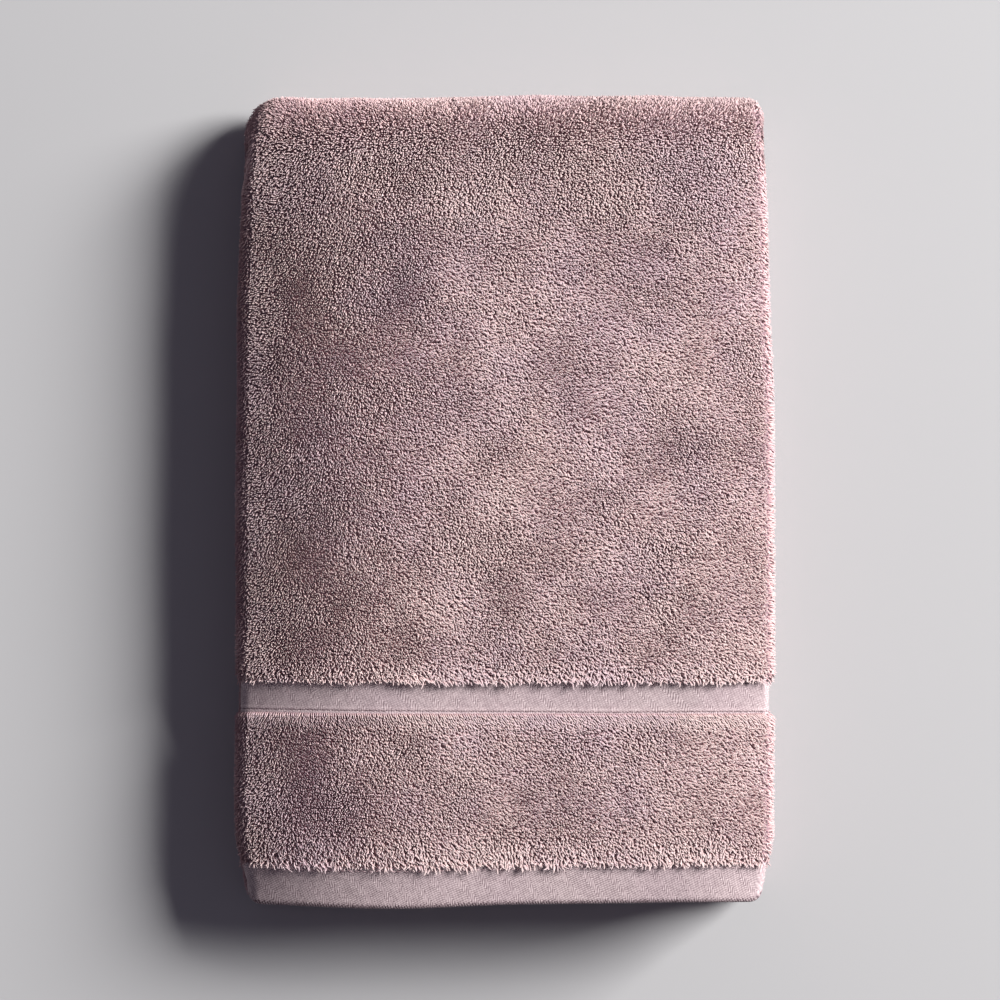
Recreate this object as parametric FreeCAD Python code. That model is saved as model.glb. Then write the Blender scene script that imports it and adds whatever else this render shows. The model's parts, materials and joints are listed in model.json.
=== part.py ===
import FreeCAD, Part
import math
import os
from collections import namedtuple

# A terry bath towel folded into a pack: in thirds across its width, then in half twice
# along its length, so that twelve layers lie on each other. +Z is up and +Y points to
# the spine, the fold made last. The origin is the middle of the pack's underside.

# The open towel, in millimetres
towel_width = 700.0
towel_length = 1400.0
ground_thickness = 1.2
pile_height = 1.5
side_hem_width = 10.0
end_hem_width = 17.0
border_terry_width = 66.0
band_width = 14.0

# The sewing thread that closes each hem
thread_width = 0.8
thread_height = 0.3
thread_inset = 1.5

# How the folds lie
edge_clearance = 2.0    # from a flap's free edge to the fold that it faces
course_gap = 0.3        # air between one course of the pack and the next
end_inset = 1.0         # how far the free ends stop short of the front fold

# A layer is the ground cloth with pile on both faces, and a course is three layers
layer = ground_thickness + 2 * pile_height
course_height = 3 * layer

# Each cloth is the space between two offsets from its middle, the second towards its face
terry_cloth = (-layer / 2, layer / 2)
band_cloth = (-ground_thickness / 2, ground_thickness / 2)
hem_cloth = (thread_height - layer / 2, layer / 2 - thread_height)
sewing_thread = (layer / 2 - thread_height, layer / 2)

# Across the width: the panel, a right flap folded over it, and a left flap over both.
# A bend's depth and radius are those of its centre and of the cloth's middle.
Bend = namedtuple("Bend", "x depth radius side")
right_radius = layer / 2
left_radius = layer
flat_width = towel_width - math.pi * (right_radius + left_radius)
panel_width = (flat_width + 2 * edge_clearance) / 3
overhang_difference = (left_radius - right_radius) / 2
right_bend = Bend(panel_width / 2 + overhang_difference, layer, right_radius, 1)
left_bend = Bend(-panel_width / 2 + overhang_difference, 1.5 * layer, left_radius, -1)
right_free_edge = left_bend.x + edge_clearance
left_free_edge = right_bend.x - edge_clearance

# Up the pack: a depth in a course is measured from its base, along its direction
Course = namedtuple("Course", "base direction")
lower_outer = Course(0, 1)
lower_inner = Course(2 * course_height + course_gap, -1)
upper_inner = Course(2 * course_height + 2 * course_gap, 1)
upper_outer = Course(4 * course_height + 3 * course_gap, -1)

# Along the pack: the front fold's axis, the spine's axis and the free ends
front_axis_z = course_height + course_gap / 2
spine_axis_z = 2 * course_height + 1.5 * course_gap
front_radius = front_axis_z
spine_radius = spine_axis_z
middle_depth = course_height / 2
inner_fold_radius = middle_depth + course_gap / 2
outer_fold_radius = spine_radius - middle_depth
fold_length = math.pi * (2 * inner_fold_radius + outer_fold_radius)
free_end_reach = front_radius - end_inset
straight_length = (towel_length - fold_length - 2 * free_end_reach) / 4
pack_length = front_radius + straight_length + spine_radius
front_y = -pack_length / 2 + front_radius
spine_y = front_y + straight_length
free_end_y = front_y - free_end_reach
hem_top_y = free_end_y + end_hem_width
border_top_y = hem_top_y + border_terry_width
band_top_y = border_top_y + band_width


def point(course, x, depth):
    return FreeCAD.Vector(x, 0, course.base + course.direction * depth)


def half_turn(course, bend, radius):
    """The arc round a bend, from its shallow side to its deep side."""
    start = point(course, bend.x, bend.depth - radius)
    middle = point(course, bend.x + bend.side * radius, bend.depth)
    end = point(course, bend.x, bend.depth + radius)
    return Part.Arc(start, middle, end).toShape()


def slab_face(course, x_start, x_end, middle, cloth):
    """A flat stretch of cloth, seen end on, about a middle depth."""
    shallow, deep = middle + cloth[0], middle + cloth[1]
    corners = [
        point(course, x_start, shallow),
        point(course, x_end, shallow),
        point(course, x_end, deep),
        point(course, x_start, deep),
    ]
    return Part.Face(Part.makePolygon(corners + corners[:1]))


def panel_face(course, cloth):
    """The middle third, whose face is the shallow side."""
    towards_face = (-cloth[1], -cloth[0])
    return slab_face(course, left_bend.x, right_bend.x, layer / 2, towards_face)


def flap_face(course, bend, x_end, cloth):
    """A bend and the flap that follows it, seen end on."""
    inner = bend.radius + cloth[0]
    outer = bend.radius + cloth[1]
    corners = [
        point(course, bend.x, bend.depth + outer),
        point(course, x_end, bend.depth + outer),
        point(course, x_end, bend.depth + inner),
        point(course, bend.x, bend.depth + inner),
    ]
    edges = [half_turn(course, bend, outer), Part.makePolygon(corners)]
    if inner > 0:
        edges.append(half_turn(course, bend, inner))
    close = [point(course, bend.x, bend.depth - inner), point(course, bend.x, bend.depth - outer)]
    edges.append(Part.makePolygon(close))
    loose = [edge for shape in edges for edge in shape.Edges]
    return Part.Face(Part.Wire(Part.__sortEdges__(loose)))


def side_hem_face(course, bend, free_edge):
    """The rolled hem along a flap's free edge."""
    inner_edge = free_edge + bend.side * side_hem_width
    return slab_face(course, free_edge, inner_edge, bend.depth + bend.radius, hem_cloth)


def side_thread_face(course, bend, free_edge):
    """The seam that closes a side hem, just inside the hem's inner edge."""
    near = free_edge + bend.side * (side_hem_width - thread_inset)
    far = near - bend.side * thread_width
    return slab_face(course, near, far, bend.depth + bend.radius, sewing_thread)


def terry_faces(course):
    """The terry of each third, up to the side hems."""
    right_end = right_free_edge + side_hem_width
    left_end = left_free_edge - side_hem_width
    return {
        "panel": panel_face(course, terry_cloth),
        "right_flap": flap_face(course, right_bend, right_end, terry_cloth),
        "left_flap": flap_face(course, left_bend, left_end, terry_cloth),
    }


def side_hem_faces(course):
    return {
        "right_side_hem": side_hem_face(course, right_bend, right_free_edge),
        "left_side_hem": side_hem_face(course, left_bend, left_free_edge),
    }


def side_thread_faces(course):
    return {
        "right_side_thread": side_thread_face(course, right_bend, right_free_edge),
        "left_side_thread": side_thread_face(course, left_bend, left_free_edge),
    }


def lay(face, y_start, y_end):
    """A face drawn out into a straight stretch of the pack."""
    at_start = face.translated(FreeCAD.Vector(0, y_start, 0))
    return at_start.extrude(FreeCAD.Vector(0, y_end - y_start, 0))


def turn(face, axis_y, axis_z, degrees):
    """A face swept half a turn round a fold's axis."""
    at_axis = face.translated(FreeCAD.Vector(0, axis_y, 0))
    axis_point = FreeCAD.Vector(0, axis_y, axis_z)
    return at_axis.revolve(axis_point, FreeCAD.Vector(1, 0, 0), degrees)


def wrapped(course, cloth, right_end, left_end, y_start, y_end):
    """One strip of cloth that runs through all three thirds, as a single solid."""
    panel = lay(panel_face(course, cloth), y_start, y_end)
    right = lay(flap_face(course, right_bend, right_end, cloth), y_start, y_end)
    left = lay(flap_face(course, left_bend, left_end, cloth), y_start, y_end)
    return panel.fuse([right, left]).removeSplitter()


def lower_course(name, course):
    """A course of the lower leaf, terry and side hems from fold to fold."""
    faces = {**terry_faces(course), **side_hem_faces(course), **side_thread_faces(course)}
    return {f"{name}_{part}": lay(face, front_y, spine_y) for part, face in faces.items()}


def upper_course(name, course):
    """A course of the upper leaf, which ends in the band, the border and the end hem."""
    nodes = {}
    for part, face in terry_faces(course).items():
        nodes[f"{name}_{part}"] = lay(face, band_top_y, spine_y)
        nodes[f"{name}_border_{part}"] = lay(face, hem_top_y, border_top_y)
    for part, face in {**side_hem_faces(course), **side_thread_faces(course)}.items():
        nodes[f"{name}_{part}"] = lay(face, hem_top_y, spine_y)
    nodes[f"{name}_band"] = wrapped(
        course,
        band_cloth,
        right_free_edge + side_hem_width,
        left_free_edge - side_hem_width,
        border_top_y,
        band_top_y,
    )
    nodes[f"{name}_end_hem"] = wrapped(
        course, hem_cloth, right_free_edge, left_free_edge, free_end_y, hem_top_y
    )
    seam_y = hem_top_y - thread_inset
    nodes[f"{name}_end_thread"] = wrapped(
        course, sewing_thread, right_free_edge, left_free_edge, seam_y - thread_width, seam_y
    )
    return nodes


def fold(name, course, axis_y, axis_z, degrees):
    """A fold that joins two courses, with the terry and the side hems bent round it."""
    faces = {**terry_faces(course), **side_hem_faces(course)}
    return {f"{name}_{part}": turn(face, axis_y, axis_z, degrees) for part, face in faces.items()}


def towel():
    half_circle = 180
    nodes = {}
    nodes.update(lower_course("lower_outer", lower_outer))
    nodes.update(lower_course("lower_inner", lower_inner))
    nodes.update(upper_course("upper_inner", upper_inner))
    nodes.update(upper_course("upper_outer", upper_outer))
    nodes.update(fold("front_fold", lower_outer, front_y, front_axis_z, -half_circle))
    nodes.update(fold("spine_inner", lower_inner, spine_y, spine_axis_z, half_circle))
    nodes.update(fold("spine_outer", lower_outer, spine_y, spine_axis_z, half_circle))
    return nodes


os.makedirs("parts", exist_ok=True)
for node, solid in towel().items():
    solid.exportStep(f"parts/{node}.step")
    print(f"{node}: {solid.Volume / 1000:.2f} cm3, valid {solid.isValid()}, {len(solid.Solids)} solid")
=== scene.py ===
import json
import math

import bpy
import numpy as np
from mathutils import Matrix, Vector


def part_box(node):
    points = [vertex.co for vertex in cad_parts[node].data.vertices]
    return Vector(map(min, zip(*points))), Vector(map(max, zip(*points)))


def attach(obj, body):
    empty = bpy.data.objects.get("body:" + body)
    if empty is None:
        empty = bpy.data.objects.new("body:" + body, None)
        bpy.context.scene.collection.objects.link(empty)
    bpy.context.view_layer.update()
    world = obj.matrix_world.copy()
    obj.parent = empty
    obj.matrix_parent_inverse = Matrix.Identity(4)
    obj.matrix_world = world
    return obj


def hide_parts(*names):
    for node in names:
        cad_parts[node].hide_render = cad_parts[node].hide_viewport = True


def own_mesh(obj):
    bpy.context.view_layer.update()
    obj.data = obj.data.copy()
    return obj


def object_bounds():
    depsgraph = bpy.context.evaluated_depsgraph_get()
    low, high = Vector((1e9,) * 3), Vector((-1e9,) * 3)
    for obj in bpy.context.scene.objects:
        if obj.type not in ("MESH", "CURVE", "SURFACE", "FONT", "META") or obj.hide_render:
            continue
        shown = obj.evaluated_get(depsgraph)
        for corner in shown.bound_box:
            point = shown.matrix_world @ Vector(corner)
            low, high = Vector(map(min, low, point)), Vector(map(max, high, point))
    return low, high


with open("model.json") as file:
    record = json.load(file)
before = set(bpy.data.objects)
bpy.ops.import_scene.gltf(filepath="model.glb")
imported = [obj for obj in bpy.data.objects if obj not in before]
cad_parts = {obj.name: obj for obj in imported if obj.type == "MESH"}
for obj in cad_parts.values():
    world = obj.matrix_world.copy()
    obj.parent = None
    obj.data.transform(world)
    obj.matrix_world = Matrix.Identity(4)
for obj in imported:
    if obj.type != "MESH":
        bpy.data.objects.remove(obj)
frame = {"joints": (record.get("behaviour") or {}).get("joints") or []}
cad_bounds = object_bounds()

# The folded towel is drawn on the open towel. A point of the cloth has a place a across
# it, measured from the panel's middle line towards the right, a place b along it, measured
# from the free end on top, and an offset s from the cloth's middle towards its face.
# across() and along() fold that point up, and settle() lets the finished pack sag.

MM = 0.001


# ---------------------------------------------------------------- sizes from the frame
def low(node):
    return np.array(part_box(node)[0])


def high(node):
    return np.array(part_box(node)[1])


X, Y, Z = 0, 1, 2
hinge = frame["joints"][0]
layer = high("lower_outer_panel")[Z]
course = high("lower_outer_left_flap")[Z]
gap = low("lower_inner_left_flap")[Z] - course
pack_top = high("upper_outer_panel")[Z]
left_x = low("lower_outer_panel")[X]
right_x = high("lower_outer_panel")[X]
right_edge_x = low("lower_outer_right_side_hem")[X]
left_edge_x = high("lower_outer_left_side_hem")[X]
side_hem_width = high("lower_outer_right_side_hem")[X] - right_edge_x
front_y = low("lower_outer_panel")[Y]
spine_y, spine_z = hinge["pos_m"][1:]
front_z = course + gap / 2
free_y = low("upper_outer_end_hem")[Y]
ground_half = layer / 2 - (pack_top - high("upper_outer_band")[Z])
hem_half = layer / 2 - (pack_top - high("upper_outer_end_hem")[Z])

# Along the cloth: the four courses and the three folds between them
upper_length = spine_y - free_y
lower_length = spine_y - front_y
outer_arc = math.pi * (spine_z - course / 2)
inner_arc = math.pi * (course + gap) / 2
hem_b = high("upper_outer_end_hem")[Y] - free_y
band_start_b = low("upper_outer_band")[Y] - free_y
band_end_b = high("upper_outer_band")[Y] - free_y
spine_b = upper_length
lower_b = spine_b + outer_arc
front_b = lower_b + lower_length
inner_b = front_b + inner_arc
inner_spine_b = inner_b + lower_length
upper_inner_b = inner_spine_b + inner_arc
towel_length = upper_inner_b + upper_length

# Across the cloth: the panel, the two bends and the two flaps
right_bend = math.pi * layer / 2
left_bend = math.pi * layer
right_end_a = right_x + right_bend + (right_x - right_edge_x)
left_end_a = left_x - left_bend - (left_edge_x - left_x)
right_terry_a = right_end_a - side_hem_width
left_terry_a = left_end_a + side_hem_width
right_turned_a = right_x + right_bend
left_turned_a = left_x - left_bend
half_pack = -low("upper_outer_left_flap")[X]


# ---------------------------------------------------------------- folding the cloth
def across(a, s):
    """Where a point is across the pack: x, and its depth in its course."""
    beyond_right = a - right_x
    beyond_left = left_x - a
    right_angle = beyond_right / (layer / 2)
    left_angle = beyond_left / layer
    stretches = [a > right_turned_a, a > right_x, a >= left_x, a >= left_turned_a]
    x = np.select(
        stretches,
        [
            right_x - (beyond_right - right_bend),
            right_x + (layer / 2 + s) * np.sin(right_angle),
            a,
            left_x - (layer + s) * np.sin(left_angle),
        ],
        left_x + (beyond_left - left_bend),
    )
    depth = np.select(
        stretches,
        [
            1.5 * layer + s,
            layer - (layer / 2 + s) * np.cos(right_angle),
            layer / 2 - s,
            1.5 * layer - (layer + s) * np.cos(left_angle),
        ],
        2.5 * layer + s,
    )
    return x, depth


fold_fullness = 2.7


def fullness(angle):
    """How much further out than a circle a fold bulges, at an angle round it."""
    spread = np.abs(np.sin(angle)) ** fold_fullness + np.abs(np.cos(angle)) ** fold_fullness
    return spread ** (-1 / fold_fullness)


def along(b, depth):
    """Where a point is along the pack and up it: y and z."""
    starts = [upper_inner_b, inner_spine_b, inner_b, front_b, lower_b, spine_b]
    stretches = [b >= start for start in starts]
    outer_angle = math.pi * (b - spine_b) / outer_arc
    front_angle = math.pi * (b - front_b) / inner_arc
    inner_angle = math.pi * (b - inner_spine_b) / inner_arc
    outer = (spine_z - depth) * fullness(outer_angle)
    front = (front_z - depth) * fullness(front_angle)
    inner = (gap / 2 + depth) * fullness(inner_angle)
    y = np.select(
        stretches,
        [
            spine_y - (b - upper_inner_b),
            spine_y + inner * np.sin(inner_angle),
            front_y + (b - inner_b),
            front_y - front * np.sin(front_angle),
            spine_y - (b - lower_b),
            spine_y + outer * np.sin(outer_angle),
        ],
        free_y + b,
    )
    z = np.select(
        stretches,
        [
            2 * course + 2 * gap + depth,
            spine_z - inner * np.cos(inner_angle),
            2 * course + gap - depth,
            front_z - front * np.cos(front_angle),
            depth,
            spine_z + outer * np.cos(outer_angle),
        ],
        pack_top - depth,
    )
    return y, z


def noise(u, v, pitch, seed):
    """Smooth random values from -1 to 1 that change over about the given distance."""
    cells = 512
    table = np.random.default_rng(seed).uniform(-1, 1, (cells, cells))
    u, v = u / pitch, v / pitch
    i, j = np.floor(u).astype(int), np.floor(v).astype(int)
    fu, fv = u - i, v - j
    fu, fv = fu * fu * (3 - 2 * fu), fv * fv * (3 - 2 * fv)
    i0, i1, j0, j1 = i % cells, (i + 1) % cells, j % cells, (j + 1) % cells
    near = table[i0, j0] * (1 - fu) + table[i1, j0] * fu
    far = table[i0, j1] * (1 - fu) + table[i1, j1] * fu
    return near * (1 - fv) + far * fv


def ramp(value, start, end):
    """0 before start and 1 after end, with a smooth rise between."""
    t = np.clip((value - start) / (end - start), 0, 1)
    return t * t * (3 - 2 * t)


def fall(value, start, end):
    """1 before start and 0 after end, with a smooth fall between."""
    return ramp(-value, -end, -start)


# How the pack settles: its long edges roll down, its plan narrows towards the spine and
# at the hems, and its corners are rounded.
left_drop, left_reach, left_roll = 19 * MM, 100 * MM, 2.4
right_drop, right_reach, right_roll = 5 * MM, 38 * MM, 2
end_drop, end_reach = 2 * MM, 40 * MM
waist_y = -14 * MM
waist_inset, spine_inset = -0.7 * MM, 5.4 * MM
band_inset, hem_inset = 1.0 * MM, 5.0 * MM
left_corner, right_corner, hem_corner = 15 * MM, 7 * MM, 7 * MM
corner_start, corner_end = spine_y - 20 * MM, spine_y + 8 * MM
hem_narrow_end, hem_narrow_start = 4 * MM, 14 * MM  # in from the free end, and past the hem
hem_corner_reach, hem_stretch_reach = 14 * MM, 34 * MM
hem_stretch, hem_skew, skew_turn = 2.1 * MM, 1.3 * MM, 2.2
band_blend = 3 * MM
low_share = 0.4  # how much of the narrowing the lowest layers share
low_z, high_z = 0.3 * pack_top, 0.8 * pack_top
sag_depth, sag_pitch = 0.7 * MM, 70 * MM
wave_height, side_wave_pitch, end_wave_pitch = 0.7 * MM, 45 * MM, 50 * MM
bump_height, bump_pitch = 0.9 * MM, 17 * MM


def edge_round(distance, radius):
    """How far a rounded corner stands back, at a distance in from the side."""
    t = np.clip(1 - distance / radius, 0, 1)
    return radius * (1 - np.sqrt(1 - 0.98 * t * t))


def settle(x, y, z):
    """The soft shape of the whole pack, as one smooth change of every point."""
    from_left, from_right = half_pack + x, half_pack - x
    rear_y = cad_bounds[1][Y]
    drop = left_drop * np.clip(1 - from_left / left_reach, 0, 1.05) ** left_roll
    drop = drop + right_drop * np.clip(1 - from_right / right_reach, 0, 1.1) ** right_roll
    drop = drop + end_drop * np.clip(1 - (rear_y - y) / end_reach, 0, 1) ** 2
    drop = drop + sag_depth * (1 + noise(x, y, sag_pitch, 3)) / 2
    lifted = z * (1 - drop / pack_top)
    towards_spine = np.clip((y - waist_y) / (rear_y - waist_y), 0, 1.1)
    inset = waist_inset + spine_inset * towards_spine**2
    hem_narrowing = fall(y, free_y + hem_narrow_end, free_y + hem_b + hem_narrow_start)
    inset = inset + hem_inset * hem_narrowing
    in_band = ramp(y, free_y + band_start_b - band_blend, free_y + band_start_b)
    in_band = in_band * (1 - ramp(y, free_y + band_end_b, free_y + band_end_b + band_blend))
    inset = inset + band_inset * in_band
    upper = ramp(z, low_z, high_z)
    side = np.clip(x / half_pack, -1.05, 1.05)
    moved_x = x - side * inset * (low_share + (1 - low_share) * upper)
    moved_x = moved_x + wave_height * noise(y, z, side_wave_pitch, 4) * np.abs(side) ** 3
    corner = edge_round(from_left, left_corner) + edge_round(from_right, right_corner)
    front_corner = edge_round(from_left, hem_corner) + edge_round(from_right, hem_corner)
    moved_y = y - corner * ramp(y, corner_start, corner_end)
    moved_y = moved_y + front_corner * fall(y, free_y, free_y + hem_corner_reach)
    stretch = hem_stretch - hem_skew * np.sin(skew_turn * side)
    moved_y = moved_y - stretch * fall(y, free_y, free_y + hem_stretch_reach)
    far = y / rear_y
    moved_y = moved_y + wave_height * noise(x, z, end_wave_pitch, 5) * np.abs(far) ** 4
    moved_y = moved_y + bump_height * noise(x, z, bump_pitch, 6) * np.clip(far, 0, 1) ** 6
    return np.stack([moved_x, moved_y, lifted], -1)


def place(a, b, s):
    """The point of the settled pack at a place on the open towel."""
    a, b, s = np.broadcast_arrays(a, b, s)
    x, depth = across(a, s)
    y, z = along(b, depth)
    return settle(x, y, z)


# ---------------------------------------------------------------- materials
cloth_specular, sheen_roughness = 0.25, 0.45


def new_material(name, roughness, sheen):
    """A cloth material, its node tree and its shader."""
    material = bpy.data.materials.new(name)
    material.use_nodes = True
    tree = material.node_tree
    shader = tree.nodes["Principled BSDF"]
    shader.inputs["Roughness"].default_value = roughness
    shader.inputs["Specular IOR Level"].default_value = cloth_specular
    shader.inputs["Sheen Weight"].default_value = sheen
    shader.inputs["Sheen Roughness"].default_value = sheen_roughness
    return material, tree, shader


def colour_ramp(tree, source, stops):
    """The colour that runs through the stops, each a position and a colour."""
    node = tree.nodes.new("ShaderNodeValToRGB")
    elements = node.color_ramp.elements
    for index, (position, colour) in enumerate(stops):
        element = elements[index] if index < 2 else elements.new(position)
        element.position = position
        element.color = (*colour, 1)
    tree.links.new(source, node.inputs["Fac"])
    return node.outputs["Color"]


def attribute(tree, name):
    """The values that a piece's mesh holds under a name, from 0 to 1."""
    node = tree.nodes.new("ShaderNodeAttribute")
    node.attribute_name = name
    return node.outputs["Fac"]


def multiply(tree, first, second):
    node = tree.nodes.new("ShaderNodeMix")
    node.data_type = "RGBA"
    node.blend_type = "MULTIPLY"
    node.inputs["Factor"].default_value = 1
    tree.links.new(first, node.inputs["A"])
    tree.links.new(second, node.inputs["B"])
    return node.outputs["Result"]


def yarn_material():
    """Loop yarn: its tone drifts over the towel, and painted shade darkens it from the tips down
    to the roots.
    """
    material, tree, shader = new_material("loop_yarn", 1.0, 0.08)
    tones = [
        (0.0, (0.78, 0.63, 0.70)),
        (0.35, (0.82, 0.665, 0.70)),
        (0.65, (0.86, 0.70, 0.695)),
        (1.0, (0.90, 0.75, 0.735)),
    ]
    # Painted shade: the colour darkens down each loop towards its root, where shade falls
    # between the loops, so the tips stand out pale.
    painted_shade_stops = [(0.0, (0.5, 0.37, 0.4)), (0.55, (0.84, 0.75, 0.76)), (0.9, (1, 1, 1))]
    tone = colour_ramp(tree, attribute(tree, "tone"), tones)
    painted_light_and_shade = colour_ramp(tree, attribute(tree, "height"), painted_shade_stops)
    tree.links.new(multiply(tree, tone, painted_light_and_shade), shader.inputs["Base Color"])
    return material


def weave_material():
    """Flat weave: twill lines that turn back now and then, over a slow change of tone. The lines
    are raised in the mesh, and the colour adds painted shade in their grooves and a painted
    highlight on their crests.
    """
    material, tree, shader = new_material("flat_weave", 0.85, 0.1)
    # Painted shade and highlight: the relief value runs from near black in the grooves to pale
    # on the crests
    lines = [(0.0, (0.12, 0.08, 0.095)), (0.32, (0.46, 0.37, 0.39)), (1.0, (0.84, 0.73, 0.74))]
    colour = colour_ramp(tree, attribute(tree, "relief"), lines)
    tones = [(0.0, (0.93, 0.90, 0.94)), (1.0, (1, 1, 1))]
    tone = colour_ramp(tree, attribute(tree, "tone"), tones)
    tree.links.new(multiply(tree, colour, tone), shader.inputs["Base Color"])
    return material


def painted_shade_ground_material():
    """The ground cloth under the loops, coloured dark as painted shade: it shows only in the
    gaps between them.
    """
    material, tree, shader = new_material("ground_cloth", 0.95, 0.0)
    weave = tree.nodes.new("ShaderNodeTexNoise")
    weave.inputs["Scale"].default_value = 900
    # Painted shade: far darker than the yarn, for the shade down between the loops
    colours = [(0.3, (0.22, 0.14, 0.17)), (0.7, (0.32, 0.22, 0.25))]
    colour = colour_ramp(tree, weave.outputs["Fac"], colours)
    tree.links.new(colour, shader.inputs["Base Color"])
    return material


def thread_material():
    """Sewing thread: two plies whose twist shows as fine slanting bands."""
    material, tree, shader = new_material("sewing_thread", 0.6, 0.05)
    twist = tree.nodes.new("ShaderNodeTexWave")
    twist.inputs["Scale"].default_value = 700
    colours = [(0.2, (0.52, 0.37, 0.41)), (0.8, (0.76, 0.60, 0.63))]
    colour = colour_ramp(tree, twist.outputs["Fac"], colours)
    tree.links.new(colour, shader.inputs["Base Color"])
    return material


loop_yarn = yarn_material()
flat_weave = weave_material()
ground_cloth = painted_shade_ground_material()
sewing_thread = thread_material()


# ---------------------------------------------------------------- meshes
def new_piece(name, points, corners, sizes, material):
    """A mesh piece from its points, its faces' corners in one row, and the faces' sizes."""
    mesh = bpy.data.meshes.new(name)
    mesh.vertices.add(len(points))
    mesh.vertices.foreach_set("co", points.astype(np.float32).ravel())
    mesh.loops.add(len(corners))
    mesh.loops.foreach_set("vertex_index", corners.astype(np.int32))
    mesh.polygons.add(len(sizes))
    starts = np.concatenate([[0], np.cumsum(sizes)[:-1]])
    mesh.polygons.foreach_set("loop_start", starts.astype(np.int32))
    mesh.polygons.foreach_set("use_smooth", np.ones(len(sizes), bool))
    mesh.update(calc_edges=True)
    mesh.materials.append(material)
    piece = bpy.data.objects.new(name, mesh)
    bpy.context.scene.collection.objects.link(piece)
    return piece


def add_values(piece, name, values):
    """A named number at each point, which the material reads."""
    layer_data = piece.data.attributes.new(name, "FLOAT", "POINT")
    layer_data.data.foreach_set("value", values.astype(np.float32).ravel())


def grid_faces(rows, columns, wrap=False):
    """The corners of a grid's faces, four each, optionally closed round its columns. They
    face outwards where the columns go round the way that the rows run, as a screw does."""
    index = np.arange(rows * columns).reshape(rows, columns)
    if wrap:
        index = np.concatenate([index, index[:, :1]], 1)
    faces = [index[:-1, :-1], index[:-1, 1:], index[1:, 1:], index[1:, :-1]]
    return np.stack(faces, -1).reshape(-1)


def steps(stops, pitches):
    """Places from stop to stop, each stretch divided at its own pitch."""
    places = []
    for start, end, pitch in zip(stops[:-1], stops[1:], pitches):
        places.append(np.linspace(start, end, max(2, math.ceil((end - start) / pitch) + 1))[:-1])
    return np.concatenate([*places, [stops[-1]]])


def quads(corners):
    """The sizes of the faces of a grid: four corners each."""
    return np.full(len(corners) // 4, 4)


def thicken(piece, half):
    """Gives a sheet its thickness, half of it on each side."""
    thick = piece.modifiers.new("thickness", "SOLIDIFY")
    thick.thickness = 2 * half
    thick.offset = 0


flap_pitch, bend_pitch, panel_pitch = 8 * MM, 0.9 * MM, 6 * MM
strip_columns = 5


def cloth_columns(start, end, panel=panel_pitch, bend=bend_pitch):
    """Places across the cloth, close together at the bends."""
    stops = [start, left_turned_a, left_x, right_x, right_turned_a, end]
    return steps(stops, [flap_pitch, bend, panel, bend, flap_pitch])


def sheet_piece(name, start_b, end_b, pitch, half, start_a, end_a, material, slot):
    """A plain stretch of cloth, folded as it lies, with its thickness."""
    whole = start_a < left_x and right_x < end_a
    a = cloth_columns(start_a, end_a) if whole else np.linspace(start_a, end_a, strip_columns)
    b = np.linspace(start_b, end_b, max(2, round((end_b - start_b) / pitch) + 1))
    points = place(a[None, :], b[:, None], 0.0).reshape(-1, 3)
    corners = grid_faces(len(b), len(a))
    piece = new_piece(name, points, corners, quads(corners), material)
    thicken(piece, half)
    return piece


# ---------------------------------------------------------------- flat weave
twill_pitch, dash_pitch = 1.02 * MM, 1.3 * MM
twill_slope, dash_slope, turn_slope = 0.5, 0.37, 0.8
long_run, short_run, run_wander = 7 * MM, 3 * MM, 4 * MM
dash_share, grain_share = 0.45, 0.12
weave_relief = 0.2 * MM


def twill(a, b):
    """The height of the twill's lines, from 0 to 1, and the slow drift of its tone. The
    lines run down to the right, and turn back for a short run now and then."""
    period = long_run + short_run
    t = np.mod(a + turn_slope * b + run_wander * noise(a, b, 30 * MM, 22), period)
    turned = long_run - (t - long_run) * long_run / short_run
    rise = np.where(t < long_run, t, turned)
    lines = 0.5 + 0.5 * np.cos(2 * math.pi * (b + twill_slope * rise) / twill_pitch)
    dashes = 0.5 + 0.5 * np.cos(2 * math.pi * (a + dash_slope * b) / dash_pitch)
    relief = lines * (1 - dash_share + dash_share * dashes)
    relief = relief + grain_share * noise(a, b, 0.9 * MM, 23)
    tone = 0.5 + 0.35 * noise(a, b, 25 * MM, 24) + 0.15 * noise(a, b, 6 * MM, 25)
    return relief, tone


def dotted_line(a, b, centre, width, pitch):
    """A row of small dots along the weave, 1 in the middle of each. They are dents, and painted
    shade darkens them.
    """
    across_line = np.exp(-(((b - centre) / width) ** 2))
    return across_line * (0.1 + 0.9 * np.cos(math.pi * a / pitch) ** 2)


weave_pitch, weave_step = 0.25 * MM, 0.42 * MM
tuck = 0.9 * MM  # how far the band's cloth runs on under the loops on each side
pick_inset, pick_wander = 0.6 * MM, 0.35 * MM
# pick_shade is painted shade in the pick's dents, ridge_shade a painted highlight on the ridges
# beside it
pick_width, pick_pitch, pick_depth, pick_shade = 0.32 * MM, 1.1 * MM, 0.4 * MM, 1.6
ridge_place, ridge_width, ridge_height, ridge_shade = 1.0 * MM, 0.5 * MM, 0.1 * MM, 0.1


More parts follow.
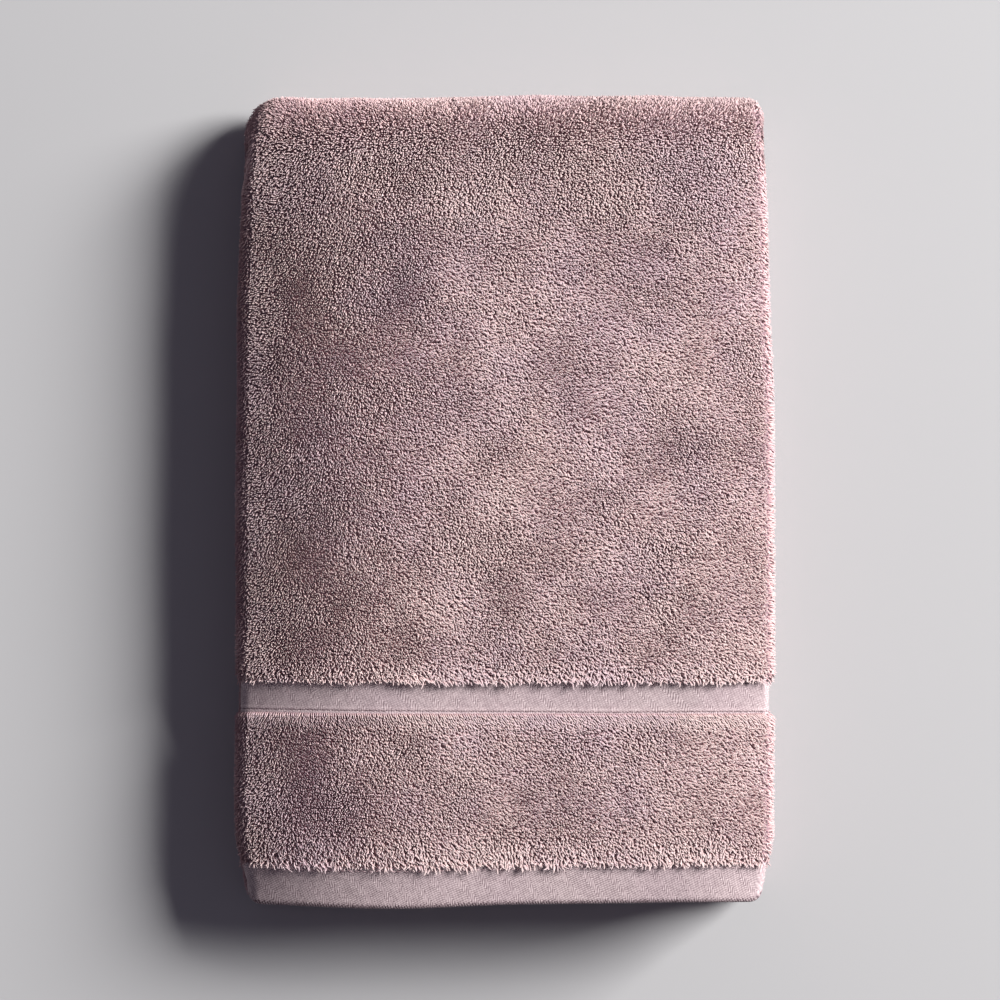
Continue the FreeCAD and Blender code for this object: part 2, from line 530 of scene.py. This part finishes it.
def band_piece(name, start_b, end_b, pick_b):
    """The woven band: a thin sheet with twill relief and one pulled pick beside the border."""
    a = cloth_columns(left_terry_a, right_terry_a, weave_step, weave_step)
    b = np.linspace(start_b, end_b, round((end_b - start_b) / weave_pitch) + 1)
    a, b = np.meshgrid(a, b)
    relief, tone = twill(a, b)
    pick_b = pick_b + pick_wander * noise(a, 0 * a, 45 * MM, 26)
    pick = dotted_line(a, b, pick_b, pick_width, pick_pitch)
    ridge = np.exp(-(((np.abs(b - pick_b) - ridge_place) / ridge_width) ** 2))
    height = weave_relief * (relief - 1) + ridge_height * ridge - pick_depth * pick
    points = place(a, b, height).reshape(-1, 3)
    corners = grid_faces(*a.shape)
    piece = new_piece(name, points, corners, quads(corners), flat_weave)
    # The colour follows the relief with painted shade and highlight: dark in the twill's grooves
    # and the pick's dents, lighter on the ridges
    painted_light_and_shade = relief + ridge_shade * ridge - pick_shade * pick
    add_values(piece, "relief", np.clip(painted_light_and_shade, 0, 1))
    add_values(piece, "tone", tone)
    thicken(piece, ground_half)
    return piece


roll_start, roll_end = 2.6 * MM, 0.8 * MM  # in from the hem's rolled edge
# stroke_shade is painted shade in the dents of the strokes on the rolled edge
stroke_pitch, stroke_slope, stroke_depth, stroke_shade = 1.25 * MM, 0.6, 0.14, 0.6
turn_points, under_points = 12, 8


def hem_piece(name, edge_b, towards):
    """The rolled end hem, closed all round. towards is the way along b from the hem's
    inner edge to its rolled edge, which lies at edge_b."""
    width, radius = hem_b, hem_half
    flat = np.arange(0, width - radius, weave_pitch)
    turn = np.linspace(0, math.pi, turn_points)
    under = np.linspace(width - radius, 0, under_points)[1:]
    distance = np.concatenate([flat, width - radius + radius * np.sin(turn), under])
    offset = np.concatenate([np.full(len(flat), radius), radius * np.cos(turn)])
    offset = np.concatenate([offset, np.full(len(under), -radius)])
    a = cloth_columns(left_end_a, right_end_a, weave_step, weave_step)[::-towards]
    a, distance = np.meshgrid(a, distance, indexing="ij")
    offset = np.broadcast_to(offset, a.shape)
    b = edge_b - towards * (width - distance)
    relief, tone = twill(a, b)
    rolled = ramp(distance, width - roll_start, width - roll_end)
    strokes = 0.5 + 0.5 * np.cos(2 * math.pi * (a - stroke_slope * distance) / stroke_pitch)
    dots = rolled * strokes
    scale = 1 + weave_relief * (relief - 1) / radius - stroke_depth * dots
    points = place(a, b, offset * scale).reshape(-1, 3)
    rows, columns = a.shape
    corners = grid_faces(rows, columns, wrap=True)
    sizes = quads(corners)
    first_cap = np.arange(columns)[::-1]
    last_cap = (rows - 1) * columns + np.arange(columns)
    corners = np.concatenate([corners, first_cap, last_cap])
    sizes = np.concatenate([sizes, [columns, columns]])
    piece = new_piece(name, points, corners, sizes, flat_weave)
    # Painted shade: the colour follows the twill relief and darkens in the strokes' dents
    add_values(piece, "relief", np.clip(relief - stroke_shade * dots, 0, 1))
    add_values(piece, "tone", tone)
    return piece


# ---------------------------------------------------------------- stitches
stitch_length, stitch_gap, stitch_radius = 2.4 * MM, 0.8 * MM, 0.28 * MM
stitch_taper, stitch_sink = 0.85, 0.25 * MM
side_seam_inset, end_seam_inset = 1.5 * MM, 1.9 * MM


def stitch_piece(name, a, b, along_b, lift):
    """A row of stitches centred at the places a, b, which run along b or across it."""
    rings, sides = 5, 6
    t = np.linspace(-1, 1, rings)
    angle = np.arange(sides) * 2 * math.pi / sides
    girth = stitch_radius * np.sqrt(1 - stitch_taper * t**2)[None, :, None]
    run = (stitch_length / 2 * t)[None, :, None] + 0 * angle
    beside = girth * np.cos(angle)
    raised = girth * np.sin(angle) + lift - stitch_sink * (t**2)[None, :, None]
    at_a = a[:, None, None] + (-beside if along_b else run)
    at_b = b[:, None, None] + (run if along_b else beside)
    points = place(at_a, at_b, raised).reshape(-1, 3)
    one = grid_faces(rings, sides, wrap=True)
    caps = np.concatenate([np.arange(sides)[::-1], (rings - 1) * sides + np.arange(sides)])
    stitch = np.concatenate([one, caps])
    offsets = np.arange(len(a))[:, None] * rings * sides
    corners = (stitch[None, :] + offsets).reshape(-1)
    sizes = np.tile(np.concatenate([quads(one), [sides, sides]]), len(a))
    return new_piece(name, points, corners, sizes, sewing_thread)


def stitch_places(start, end):
    """The middles of the stitches of a seam, evenly spaced from end to end."""
    count = round((end - start) / (stitch_length + stitch_gap))
    return np.linspace(start, end, count + 1)[:-1] + (end - start) / count / 2


# ---------------------------------------------------------------- loops of the pile
spread_a, close_a = -112 * MM, -12 * MM
big_swirl, small_swirl, small_swirl_share = 22 * MM, 9 * MM, 0.6
hem_reach, band_reach, edge_reach = 16 * MM, 12 * MM, 20 * MM
comb_start, comb_end = 9 * MM, 2 * MM  # before the band's first edge
spine_before, spine_after = 45 * MM, 10 * MM
hang_spread, hang_pitch = 0.6, 8 * MM
swirl_lean, comb_calm = 0.28, 0.8

# How far the loops lean across the cloth and along it: everywhere, and what is added at the
# left roll-off, beside both edges, where the pile is combed, over the hem and the band, and
# round the spine
usual_lean, spread_lean = (0.55, -0.35), -0.6
right_lean, left_lean = 0.1, -0.4
comb_lean, spine_lean = (0.2, -0.6), (-0.5, -0.3)
hem_lean, band_lean = 0.85, 0.7


def spread(a):
    """1 at the left edge, where the long roll-off spreads the loops, and 0 on the right."""
    return fall(a, spread_a, close_a)


def lean_field(a, b):
    """Which way the loops lean across and along the cloth, and how orderly they are."""
    swirl_a = noise(a, b, big_swirl, 31) + small_swirl_share * noise(a, b, small_swirl, 32)
    swirl_b = noise(a, b, big_swirl, 33) + small_swirl_share * noise(a, b, small_swirl, 34)
    near_hem = fall(b, hem_b, hem_b + hem_reach)
    over_band = fall(b, band_end_b, band_end_b + band_reach) * (b > band_end_b)
    combed = ramp(b, band_start_b - comb_start, band_start_b - comb_end) * (b < band_start_b)
    near_right = ramp(a, right_x - edge_reach, right_x) * (a < right_x)
    near_left = fall(a, left_x, left_x + edge_reach) * (a > left_x)
    over_spine = ramp(b, spine_b - spine_before, spine_b + spine_after) * (b < lower_b)
    hang = 1 + hang_spread * noise(a, b, hang_pitch, 35)
    lean_a = usual_lean[0] + spread_lean * spread(a)
    lean_a = lean_a + swirl_lean * swirl_a * (1 - comb_calm * combed)
    lean_a = lean_a + right_lean * near_right + left_lean * near_left
    lean_a = lean_a + comb_lean[0] * combed + spine_lean[0] * over_spine
    lean_b = usual_lean[1] + swirl_lean * swirl_b * (1 - comb_calm * combed)
    lean_b = lean_b + comb_lean[1] * combed
    lean_b = lean_b - (hem_lean * near_hem + band_lean * over_band) * hang
    lean_b = lean_b + spine_lean[1] * over_spine
    return lean_a, lean_b, combed


hem_fringe, band_fringe = 3.5 * MM, 3 * MM
spine_fringe_start, spine_fringe_end = spine_b - 2 * MM, spine_b + 14 * MM
band_fringe_share, spine_fringe_share = 0.7, 0.35


def fringe(b):
    """1 where the loops' free ends show: above the band and hem, and round the spine."""
    above_hem = (b > hem_b) * (1 - ramp(b, hem_b, hem_b + hem_fringe))
    above_band = (b > band_end_b) * (1 - ramp(b, band_end_b, band_end_b + band_fringe))
    on_spine = ramp(b, spine_fringe_start, spine_fringe_end) * (b < lower_b)
    return above_hem + band_fringe_share * above_band + spine_fringe_share * on_spine


row_share, column_share, shake_share = 0.9, 1.11, 0.36
comb_order = 0.75


def scatter(start_b, end_b, start_a, end_a, spacing, rng):
    """Loop roots over a stretch of cloth: a staggered grid, shaken except where combed."""
    rows = max(1, round((end_b - start_b) / (spacing * row_share)))
    columns = max(1, round((end_a - start_a) / (spacing * column_share)))
    row, column = np.meshgrid(np.arange(rows), np.arange(columns), indexing="ij")
    a = start_a + (column + 0.25 + 0.5 * (row % 2)) / columns * (end_a - start_a)
    b = start_b + (row + 0.5) / rows * (end_b - start_b)
    combed = lean_field(a, b)[2]
    reach = spacing * (1 - comb_order * combed)
    shake = reach * rng.uniform(-shake_share, shake_share, (2, rows, columns))
    a, b = np.clip(a + shake[0], start_a, end_a), np.clip(b + shake[1], start_b, end_b)
    return a.ravel(), b.ravel()


free_height, pressed_height = 2.4 * MM, 0.75 * MM
yarn_radius = 0.335 * MM
least_z = 0.15 * MM  # the lowest that a loop pressed to the floor may reach

# The spine's outer face is longer than the cloth's middle, so its loops start closer
close, fine, plain, coarse = 0.79 * MM, 0.88 * MM, 0.98 * MM, 1.62 * MM


def unit(vectors):
    """The same directions at a length of 1."""
    return vectors / np.linalg.norm(vectors, axis=-1, keepdims=True)


def cloth_frame(a, b):
    """The face's point at each place, and the directions up, across and along there."""
    step = 0.1 * MM
    root = place(a, b, ground_half)
    up = unit(place(a, b, ground_half + step) - root)
    ahead_a = unit(place(a + step, b, ground_half) - root)
    ahead_b = unit(place(a, b + step, ground_half) - root)
    return root, up, ahead_a, ahead_b


# How the loops differ from one to the next, with the angles in radians
heading_spread, turn_spread, tilt_spread, most_lean = 0.28, 0.4, 0.15, 1.5
length_spread, girth_spread = 0.035, 0.1
shorter_fringe, longer_fringe = -0.15, 0.75
comb_hold = 0.7  # how much of the differences in angle the combed loops lose

# How far a loop tips over at its root and at its tip, in degrees: pressed flat, and free
pressed_root, free_root = 50, 6
pressed_tip, free_tip, lean_tip = 86, 12, 46
least_tilt, most_tilt = 0.1, 1.7
tip_share, tip_round = 0.05, 0.4

# Fuzzy yarn shades softly: each normal is drawn this far from the yarn's own side towards
# the direction that the cloth faces, and less so where the loops stand apart
close_fuzz, spread_fuzz = 0.62, 0.2

# How far up the yarn each ring stands, and how thick the yarn is there
ring_places = {3: [0.0, 0.55, 0.93], 4: [0.0, 0.45, 0.78, 0.95]}
ring_girths = {3: [0.85, 1.0, 0.75], 4: [0.85, 1.0, 0.98, 0.72]}


def loop_shapes(a, b, freedom, thickness, rng, rings, sides):
    """Every loop's points and their normals: rings round a yarn that rises, leans and bends."""
    count = len(a)
    lean_a, lean_b, combed = lean_field(a, b)
    strength = np.clip(np.hypot(lean_a, lean_b), 0, most_lean)
    loose = 1 - comb_hold * combed
    heading = np.arctan2(lean_b, lean_a) + rng.normal(0, heading_spread, count) * loose
    height = pressed_height + (free_height - pressed_height) * freedom
    first_tilt = np.radians(pressed_root + (free_root - pressed_root) * freedom)
    last_tilt = np.radians(pressed_tip + (free_tip - pressed_tip) * freedom)
    last_tilt = last_tilt + np.radians(lean_tip) * strength * freedom
    last_tilt = last_tilt + rng.normal(0, tilt_spread, count) * loose
    last_tilt = np.clip(last_tilt, least_tilt, most_tilt)
    length = height / np.cos((first_tilt + last_tilt) / 2)
    length = length * rng.normal(1, length_spread, count)
    length = length * (1 + fringe(b) * rng.uniform(shorter_fringe, longer_fringe, count))
    root, up, ahead_a, ahead_b = (v[:, None] for v in cloth_frame(a, b))
    t = np.array(ring_places[rings])
    tilt = first_tilt[:, None] + (last_tilt - first_tilt)[:, None] * t
    middle = first_tilt[:, None] + (last_tilt - first_tilt)[:, None] * t / 2
    rise = (length[:, None] * t * np.cos(middle))[..., None]
    reach = (length[:, None] * t * np.sin(middle))[..., None]
    twist = rng.normal(0, turn_spread, count) * loose
    turn = (heading[:, None] + twist[:, None] * t)[..., None]
    forward = np.cos(turn) * ahead_a + np.sin(turn) * ahead_b
    sideways = unit(np.cross(up, forward))
    sine, cosine = np.sin(tilt)[..., None], np.cos(tilt)[..., None]
    centre = root + up * rise + forward * reach
    over = up * sine - forward * cosine
    onward = up * cosine + forward * sine
    beyond = tip_share * length + tip_round * thickness
    tip = centre[:, -1] + onward[:, -1] * beyond[:, None]
    girth = thickness * rng.normal(1, girth_spread, count)
    girth = girth[:, None] * np.array(ring_girths[rings])
    angle = math.pi / 2 + (np.arange(sides) + 0.5) * 2 * math.pi / sides
    angle = angle[None, None, :, None]
    ring = sideways[:, :, None] * np.cos(angle) + over[:, :, None] * np.sin(angle)
    around = centre[:, :, None] + ring * girth[..., None, None]
    points = np.concatenate([around.reshape(count, rings * sides, 3), tip[:, None]], 1)
    points[..., Z] = np.maximum(points[..., Z], least_z)
    own = np.concatenate([ring.reshape(count, rings * sides, 3), onward[:, -1:]], 1)
    fuzz = (close_fuzz + (spread_fuzz - close_fuzz) * spread(a))[:, None, None]
    return points, unit((1 - fuzz) * own + fuzz * up)


wide_drift, narrow_drift, loop_drift = 0.22, 0.16, 0.12


def loop_tones(a, b, rng):
    """One tone for each loop: slow patches of warm and cool, and a small change loop by loop."""
    drift = 0.5 + wide_drift * noise(a, b, 45 * MM, 41) + narrow_drift * noise(a, b, 14 * MM, 42)
    return np.clip(drift + rng.normal(0, loop_drift, len(a)), 0, 1)


def pile_piece(name, points, normals, tone, painted_shade_scale, rings, sides):
    """One piece of pile, whose map for the material holds tone across and, up it, the height
    that sets the painted root shade.
    """
    count, per_loop = points.shape[:2]
    one = grid_faces(rings, sides, wrap=True)
    last = (rings - 1) * sides
    tips = [[last + k, last + (k + 1) % sides, rings * sides] for k in range(sides)]
    root = np.arange(sides)[::-1]
    loop = np.concatenate([one, np.array(tips).ravel(), root])
    corners = (loop[None, :] + np.arange(count)[:, None] * per_loop).reshape(-1)
    loop_sizes = np.concatenate([quads(one), np.full(sides, 3), [sides]])
    sizes = np.tile(loop_sizes, count)
    piece = new_piece(name, points.reshape(-1, 3), corners, sizes, loop_yarn)
    piece.data.normals_split_custom_set_from_vertices(normals.reshape(-1, 3))
    height = np.append(np.repeat(np.array(ring_places[rings]), sides), 1.0)
    width = np.append(np.tile(np.arange(sides) / sides, rings), 0.5)
    add_values(piece, "tone", np.repeat(tone, per_loop))
    # Painted shade: on bent loops the height that sets the colour is scaled down, so they take
    # more of the dark root colour
    height = (painted_shade_scale[:, None] * height[None, :]).reshape(-1)
    add_values(piece, "height", height)
    bake_map = piece.data.uv_layers.new(name="OFBake")
    place_u = (0.01 + 0.97 * tone[:, None] + 0.01 * width[None, :]).reshape(-1)
    place_v = 0.01 + 0.98 * height
    uv = np.stack([place_u, place_v], -1)[corners]
    bake_map.uv.foreach_set("vector", uv.astype(np.float32).ravel())
    return piece


most_triangles = 190_000
loop_sides = 3
bend_spacing = 0.95 * MM
right_blend, left_blend = 2 * MM, 3 * MM
bend_freedom, left_thinning = 0.55, 0.3
top_start, top_end, top_share = spine_b - 4 * MM, spine_b + 16 * MM, 0.5
# How much painted shade darkens the loops round the bends and over the spine's top
bend_shade = 0.55


def pile(name, start_b, end_b, spacing, rings, freedom, seed):
    """The loops on one stretch of the cloth's face, as pieces small enough to hand over."""
    sides = loop_sides
    rng = np.random.default_rng(seed)
    strips = [
        scatter(start_b, end_b, left_turned_a, left_x, bend_spacing, rng),
        scatter(start_b, end_b, left_x, right_x, spacing, rng),
        scatter(start_b, end_b, right_x, right_turned_a, bend_spacing, rng),
    ]
    a, b = np.concatenate(strips, 1)
    outside = ramp(a, right_x, right_x + right_blend)
    outside = np.maximum(outside, fall(a, left_x - left_blend, left_x))
    thickness = yarn_radius * np.where(outside > 0.5, 1.0, max(1.0, spacing / fine))
    thickness = thickness * (1 - left_thinning * spread(a))
    turned_freedom = np.maximum(bend_freedom * outside, freedom * (1 - outside))
    freedom = np.where(outside > 0, turned_freedom, freedom)
    points, normals = loop_shapes(a, b, freedom, thickness, rng, rings, sides)
    tone = loop_tones(a, b, rng)
    over_top = ramp(b, top_start, top_end) * (b < lower_b)
    painted_bend_shade_mask = np.maximum(outside, top_share * over_top)
    # Round the bends and over the top at the spine the loops get more painted shade: the height
    # that sets their colour is cut down
    painted_shade_scale = 1 - bend_shade * painted_bend_shade_mask
    triangles = (rings - 1) * sides * 2 + sides + (sides - 2)
    chunks = math.ceil(len(a) * triangles / most_triangles)
    pieces = []
    for index, chosen in enumerate(np.array_split(np.argsort(b, kind="stable"), chunks)):
        part = f"{name}_{index + 1}" if chunks > 1 else name
        loops = [values[chosen] for values in (points, normals, tone, painted_shade_scale)]
        pieces.append(pile_piece(part, *loops, rings, sides))
    return pieces


# ---------------------------------------------------------------- the towel, piece by piece
lower, upper = "lower_leaf", "upper_leaf"
terry_layers = ["panel", "right_flap", "left_flap"]
leaf_pitch, front_pitch, spine_pitch = 6 * MM, 2.2 * MM, 1.5 * MM
edge_strips = {
    "right_side": (right_terry_a, right_end_a),
    "left_side": (left_end_a, left_terry_a),
}


def flatten_with_spine(piece):
    """A piece of the spine, which gets its own copy of its mesh."""
    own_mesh(piece)


def ground_sheet(name, start_b, end_b, body, rests_on, pitch=leaf_pitch, squashed=False):
    """A stretch of the ground cloth between the side hems."""
    across_cloth = (left_terry_a, right_terry_a)
    look = (ground_cloth, "terry_cloth")
    piece = sheet_piece(name, start_b, end_b, pitch, ground_half, *across_cloth, *look)
    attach(piece, body)
    if squashed:
        flatten_with_spine(piece)
    return piece


strip_relief, strip_tone = 0.45, 0.5


def side_hems(name, start_b, end_b, body, pitch=leaf_pitch, squashed=False):
    """The rolled hems along both free edges of a stretch of the cloth."""
    pieces = {}
    look = (flat_weave, "flat_weave")
    for side, across_strip in edge_strips.items():
        strip = f"{name}_{side}_hem_strip"
        piece = sheet_piece(strip, start_b, end_b, pitch, hem_half, *across_strip, *look)
        add_values(piece, "relief", np.full(len(piece.data.vertices), strip_relief))
        add_values(piece, "tone", np.full(len(piece.data.vertices), strip_tone))
        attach(piece, body)
        if squashed:
            flatten_with_spine(piece)
        pieces[side] = piece
    return pieces


def side_seams(name, start_b, end_b, body):
    """The stitches that close both side hems."""
    pieces = {}
    b = stitch_places(start_b, end_b)
    inner = {
        "right_side": right_terry_a + side_seam_inset,
        "left_side": left_terry_a - side_seam_inset,
    }
    for side, inner_a in inner.items():
        a = np.full(len(b), inner_a)
        piece = stitch_piece(f"{name}_{side}_seam", a, b, True, hem_half)
        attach(piece, body)
        pieces[side] = piece
    return pieces


def free_end_course(name, mirrored):
    """A course of the upper leaf, from its free end to the spine. The inner course is the
    towel's other end, so its places along the cloth are counted back from there."""

    def at(b):
        """The place along the towel at a distance from this end."""
        return towel_length - b if mirrored else b

    def span(start, end):
        """A stretch of this end, in the order in which it lies along the towel."""
        return sorted([at(start), at(end)])

    below = "lower_ground" if mirrored else "upper_inner_ground"
    band_from, band_to = band_start_b - tuck, band_end_b + tuck
    main = ground_sheet(f"{name}_ground", *span(band_to, spine_b), upper, [below])
    border = ground_sheet(f"{name}_border_ground", *span(hem_b, band_from), upper, [below])
    for part in terry_layers:
        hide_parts(f"{name}_{part}")
        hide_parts(f"{name}_border_{part}")
    pick_b = at(band_start_b + pick_inset)
    band = band_piece(f"{name}_woven_band", *span(band_from, band_to), pick_b)
    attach(band, upper)
    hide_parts(f"{name}_band")
    hem = hem_piece(f"{name}_rolled_hem", at(0.0), 1 if mirrored else -1)
    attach(hem, upper)
    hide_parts(f"{name}_end_hem")
    seam_a = stitch_places(left_end_a, right_end_a)
    seam_b = np.full(len(seam_a), at(hem_b - end_seam_inset))
    seam = stitch_piece(f"{name}_end_seam", seam_a, seam_b, False, hem_half)
    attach(seam, upper)
    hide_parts(f"{name}_end_thread")
    for side, piece in side_hems(name, *span(hem_b, spine_b), upper).items():
        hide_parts(f"{name}_{side}_hem")
    for side, piece in side_seams(name, *span(hem_b, spine_b), upper).items():
        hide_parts(f"{name}_{side}_thread")


def lower_leaf():
    """Both lower courses and the front fold between them: one unbroken stretch of cloth."""
    ground = ground_sheet("lower_ground", lower_b, inner_spine_b, lower, ["floor"], front_pitch)
    for stretch in ["lower_outer", "lower_inner", "front_fold"]:
        for part in terry_layers:
            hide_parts(f"{stretch}_{part}")
    hems = side_hems("lower", lower_b, inner_spine_b, lower, front_pitch)
    for side, piece in hems.items():
        for stretch in ["lower_outer", "lower_inner", "front_fold"]:
            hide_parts(f"{stretch}_{side}_hem")
    for stretch, start_b, end_b in [
        ("lower_outer", lower_b, front_b),
        ("lower_inner", inner_b, inner_spine_b),
    ]:
        for side, piece in side_seams(stretch, start_b, end_b, lower).items():
            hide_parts(f"{stretch}_{side}_thread")


def spine():
    """Both spine folds, each split at its middle so that each half rides on its own leaf."""
    for name, start_b, end_b, first, second in [
        ("spine_outer", spine_b, lower_b, upper, lower),
        ("spine_inner", inner_spine_b, upper_inner_b, lower, upper),
    ]:
        middle_b = (start_b + end_b) / 2
        halves = [(first, start_b, middle_b), (second, middle_b, end_b)]
        for body, from_b, to_b in halves:
            half = f"{name}_{body}"
            lie = (from_b, to_b, body)
            below = ["lower_ground"]
            ground = ground_sheet(f"{half}_ground", *lie, below, spine_pitch, squashed=True)
            hems = side_hems(half, *lie, spine_pitch, squashed=True)
            if body == lower:
                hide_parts(*[f"{name}_{part}" for part in terry_layers])
                for side, piece in hems.items():
                    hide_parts(f"{name}_{side}_hem")


# Each stretch of pile: its name, its places along the cloth, the spacing of its loops,
# the rings of each loop, how free its loops stand, and the leaf that it rides on
outer_middle = (spine_b + lower_b) / 2
inner_middle = (inner_spine_b + upper_inner_b) / 2
other_band_b, other_hem_b = towel_length - band_end_b, towel_length - hem_b
pile_stretches = [
    ("top_pile", band_end_b, spine_b, fine, 4, 1.0, upper),
    ("border_pile", hem_b, band_start_b, fine, 4, 1.0, upper),
    ("spine_upper_pile", spine_b, outer_middle, close, 4, 1.0, upper),
    ("spine_lower_pile", outer_middle, lower_b, close, 4, 1.0, lower),
    ("under_pile", lower_b, front_b, coarse, 3, 0.0, lower),
    ("front_pile", front_b, inner_b, plain, 4, 0.9, lower),
    ("lower_inner_pile", inner_b, inner_spine_b, coarse, 3, 0.0, lower),
    ("inner_spine_lower_pile", inner_spine_b, inner_middle, plain, 3, 0.0, lower),
    ("inner_spine_upper_pile", inner_middle, upper_inner_b, plain, 3, 0.0, upper),
    ("upper_inner_pile", upper_inner_b, other_band_b, coarse, 3, 0.0, upper),
    ("inner_border_pile", towel_length - band_start_b, other_hem_b, coarse, 3, 0.0, upper),
]


first_seed = 100


def all_pile():
    """The loops of every stretch, each piece riding its leaf."""
    for seed, (name, *stretch, body) in enumerate(pile_stretches, first_seed):
        for piece in pile(name, *stretch, seed):
            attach(piece, body)
            if "spine" in name:
                flatten_with_spine(piece)


# ---------------------------------------------------------------- floor, light and camera
floor_half = 3.0
floor_grey = (0.5, 0.51, 0.53, 1)


def add_floor():
    """A plain pale floor, far larger than the picture."""
    mesh = bpy.data.meshes.new("floor")
    signs = [(-1, -1), (1, -1), (1, 1), (-1, 1)]
    corners = [(floor_half * x, floor_half * y, 0) for x, y in signs]
    mesh.from_pydata(corners, [], [(0, 1, 2, 3)])
    floor = bpy.data.objects.new("floor", mesh)
    bpy.context.scene.collection.objects.link(floor)
    material = bpy.data.materials.new("pale_floor")
    material.use_nodes = True
    shader = material.node_tree.nodes["Principled BSDF"]
    shader.inputs["Base Color"].default_value = floor_grey
    shader.inputs["Roughness"].default_value = 0.9
    shader.inputs["Specular IOR Level"].default_value = 0.1
    mesh.materials.append(material)


key_colour, fill_colour, world_colour = (1.0, 0.965, 0.93), (0.88, 0.74, 1.0), (0.88, 0.8, 1.0)
world_strength = 0.09


def add_area_light(name, azimuth, elevation, distance, size, power, colour):
    """A square light that shines at the pack from an azimuth, counted from +X towards +Y. The
    angles are in degrees, the distance and size in metres and the power in watts."""
    data = bpy.data.lights.new(name, "AREA")
    data.size = size
    data.energy = power
    data.color = colour
    light = bpy.data.objects.new(name, data)
    azimuth, elevation = math.radians(azimuth), math.radians(elevation)
    flat, height = distance * math.cos(elevation), distance * math.sin(elevation)
    light.location = (flat * math.cos(azimuth), flat * math.sin(azimuth), height)
    light.rotation_euler = (-light.location).to_track_quat("-Z", "Y").to_euler()
    bpy.context.scene.collection.objects.link(light)


def add_lights():
    """A low soft key from the right, a faint fill from the left and a dim even studio."""
    add_area_light("key", 24, 28.5, 4.5, 1.95, 500, key_colour)
    add_area_light("fill", 190, 50, 2.0, 1.6, 0.6, fill_colour)
    world = bpy.data.worlds.new("studio")
    world.use_nodes = True
    background = world.node_tree.nodes["Background"]
    background.inputs["Color"].default_value = (*world_colour, 1)
    background.inputs["Strength"].default_value = world_strength
    bpy.context.scene.world = world


def add_camera():
    """Straight above the pack, with its spine at the top of the picture."""
    sensor, view_width, distance = 36.0, 0.4405, 1.5
    aim_x, aim_y = -1.5 * MM, -0.6 * MM
    data = bpy.data.cameras.new("camera")
    data.sensor_width = sensor
    data.lens = sensor * distance / view_width
    camera = bpy.data.objects.new("camera", data)
    camera.location = (aim_x, aim_y, pack_top + distance)
    bpy.context.scene.collection.objects.link(camera)
    bpy.context.scene.camera = camera


free_end_course("upper_outer", mirrored=False)
free_end_course("upper_inner", mirrored=True)
lower_leaf()
spine()
all_pile()
add_floor()
add_lights()
add_camera()
bpy.context.scene.view_settings.view_transform = "Standard"
